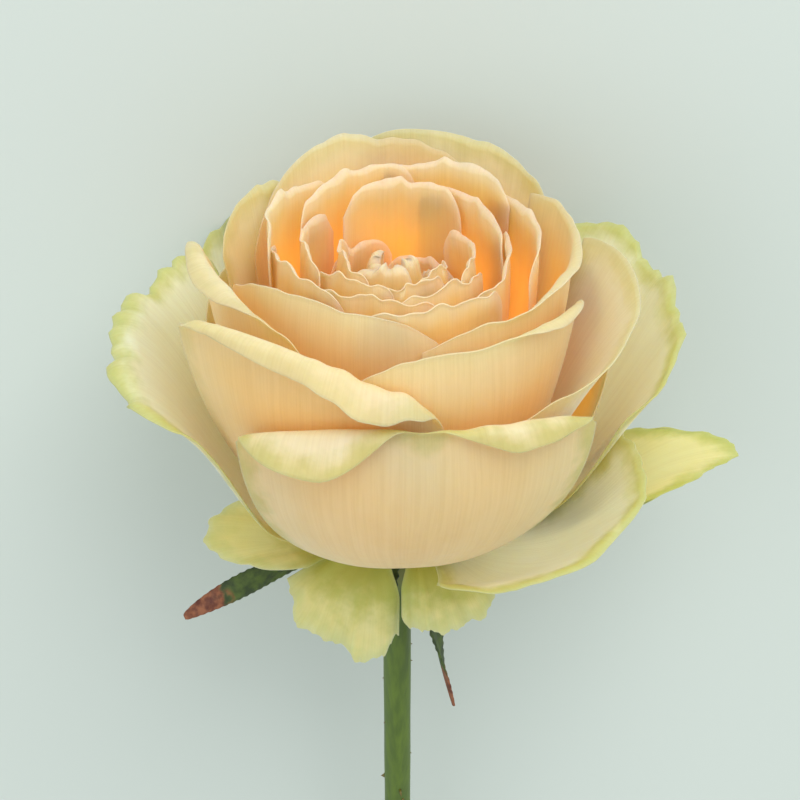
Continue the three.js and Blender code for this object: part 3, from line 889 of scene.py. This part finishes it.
def build_stem():
    """The stem with its hip: one closed skin, cut aslant, with small prickles."""
    rng = np.random.default_rng(STEM_SEED)
    stem_heights = np.linspace(-STEM_REACH, NECK, STEM_RINGS)
    hip_heights = np.linspace(NECK + RING_GAP, DOME_TOP, HIP_RINGS)
    heights = np.concatenate([stem_heights, hip_heights])
    known = np.array(STEM_PROFILE)
    radii = np.interp(heights, known[:, 0], known[:, 1])
    radii = np.convolve(np.pad(radii, 2, mode="edge"), np.ones(5) / 5, mode="valid")
    radii[-1] = DOME_TOP_RADIUS
    points, hip = stem_tube(heights, radii)
    rings = [ring * STEM_SIDES for ring in range(len(heights))]
    faces = [quad for low, high in zip(rings, rings[1:]) for quad in ring_quads(low, high)]
    faces.append(tuple(rings[-1] + k for k in range(STEM_SIDES)))

    rings = [0] + [len(points) + ring * STEM_SIDES for ring in range(len(CUT_RINGS))]
    cut_face = cut_rings(points[:STEM_SIDES])
    cut = [0.0] * len(points) + [1.0] * len(cut_face)
    points += cut_face
    faces += [quad for outer, inner in zip(rings, rings[1:]) for quad in ring_quads(inner, outer)]
    faces.append(tuple(rings[-1] + k for k in reversed(range(STEM_SIDES))))

    prickle = [0.0] * len(points)
    places = HEAD_PRICKLES + [
        (rng.uniform(*LOW_PRICKLE_HEIGHTS), rng.uniform(*LOW_PRICKLE_TURNS))
        for _ in range(LOW_PRICKLES)
    ]
    for z, turn in places:
        start = len(points)
        radius = float(np.interp(z, heights, radii))
        if z > HEAD_PRICKLES_DOWN_TO:
            reach, foot = HEAD_PRICKLE_SIZE
        else:
            reach, foot = rng.uniform(*LOW_PRICKLE_REACH), rng.uniform(*LOW_PRICKLE_FOOT)
        points += prickle_points(z, turn, radius, reach, foot)
        prickle += [PRICKLE_FOOT_TINT] * PRICKLE_SIDES + [1.0]
        ring = range(PRICKLE_SIDES)
        tip = start + PRICKLE_SIDES
        faces += [(start + k, start + (k + 1) % PRICKLE_SIDES, tip) for k in ring]
        faces.append(tuple(start + k for k in reversed(ring)))

    def padded(values):
        return values + [0.0] * (len(points) - len(values))

    values = {"hip": padded(hip), "cut": padded(cut), "prickle": prickle}
    piece = new_piece("rose_stem", points, faces, values)
    finish_piece(piece, "stem", STEM_SKIN)


build_petals()
build_sepals()
build_stem()


# ---------------------------------------------------------------- table, light and camera
TABLE_HALF_SIZE = 3.0
CAMERA_RISE = 33.0
CAMERA_DISTANCE = 420.0
CAMERA_TARGET = (0.5, 0.0, 26.1)
CAMERA_LENS = 107.7
CAMERA_SENSOR = 36
SKY_COLOUR = (0.93, 0.97, 0.96, 1)
SKY_STRENGTH = 0.86

# each soft light's place, size, power and colour
SOFTBOXES = {
    "key softbox": ((0.4, 1.15, 0.85), 1.1, 12.0, (1.0, 0.99, 0.97)),
    "fill softbox": ((-0.8, 0.1, 1.1), 1.0, 2.5, (0.98, 0.99, 1.0)),
}


def build_table():
    h = TABLE_HALF_SIZE
    mesh = bpy.data.meshes.new("table")
    mesh.from_pydata([(-h, -h, 0), (h, -h, 0), (h, h, 0), (-h, h, 0)], [], [(0, 1, 2, 3)])
    table = bpy.data.objects.new("table", mesh)
    bpy.context.scene.collection.objects.link(table)
    material = bpy.data.materials.new("table paint")
    material.use_nodes = True
    shader = material.node_tree.nodes["Principled BSDF"]
    shader.inputs["Base Color"].default_value = srgb(199, 208, 203)
    shader.inputs["Roughness"].default_value = 0.85
    mesh.materials.append(material)


def add_light(name, position, size, power, colour):
    """A square soft light that looks at the rose."""
    lamp = bpy.data.lights.new(name, "AREA")
    lamp.size = size
    lamp.energy = power
    lamp.color = colour
    light = bpy.data.objects.new(name, lamp)
    light.location = position
    light.rotation_euler = (-Vector(position)).to_track_quat("-Z", "Y").to_euler()
    bpy.context.scene.collection.objects.link(light)


def build_lights():
    world = bpy.data.worlds.new("studio")
    bpy.context.scene.world = world
    world.use_nodes = True
    sky = world.node_tree.nodes["Background"]
    sky.inputs["Color"].default_value = SKY_COLOUR
    sky.inputs["Strength"].default_value = SKY_STRENGTH
    for name, light in SOFTBOXES.items():
        add_light(name, *light)


def build_camera():
    """The camera looks down on the laid rose, at the same angle to the bloom as across a vase."""
    rise = math.radians(CAMERA_RISE)
    back = Vector((0, -math.cos(rise), math.sin(rise)))
    up = Vector((0, math.sin(rise), math.cos(rise)))
    turn = LAID.to_3x3().normalized()
    back_w, up_w = (turn @ back).normalized(), (turn @ up).normalized()
    basis = Matrix((up_w.cross(back_w), up_w, back_w)).transposed().to_4x4()
    place = LAID @ (Vector(CAMERA_TARGET) + back * CAMERA_DISTANCE)
    camera = bpy.data.objects.new("camera", bpy.data.cameras.new("camera"))
    camera.matrix_world = Matrix.Translation(place) @ basis
    camera.data.lens = CAMERA_LENS
    camera.data.sensor_width = CAMERA_SENSOR
    camera.data.clip_start = 10 * MM
    bpy.context.scene.collection.objects.link(camera)
    bpy.context.scene.camera = camera


build_table()
build_lights()
build_camera()
bpy.context.scene.view_settings.view_transform = "Standard"
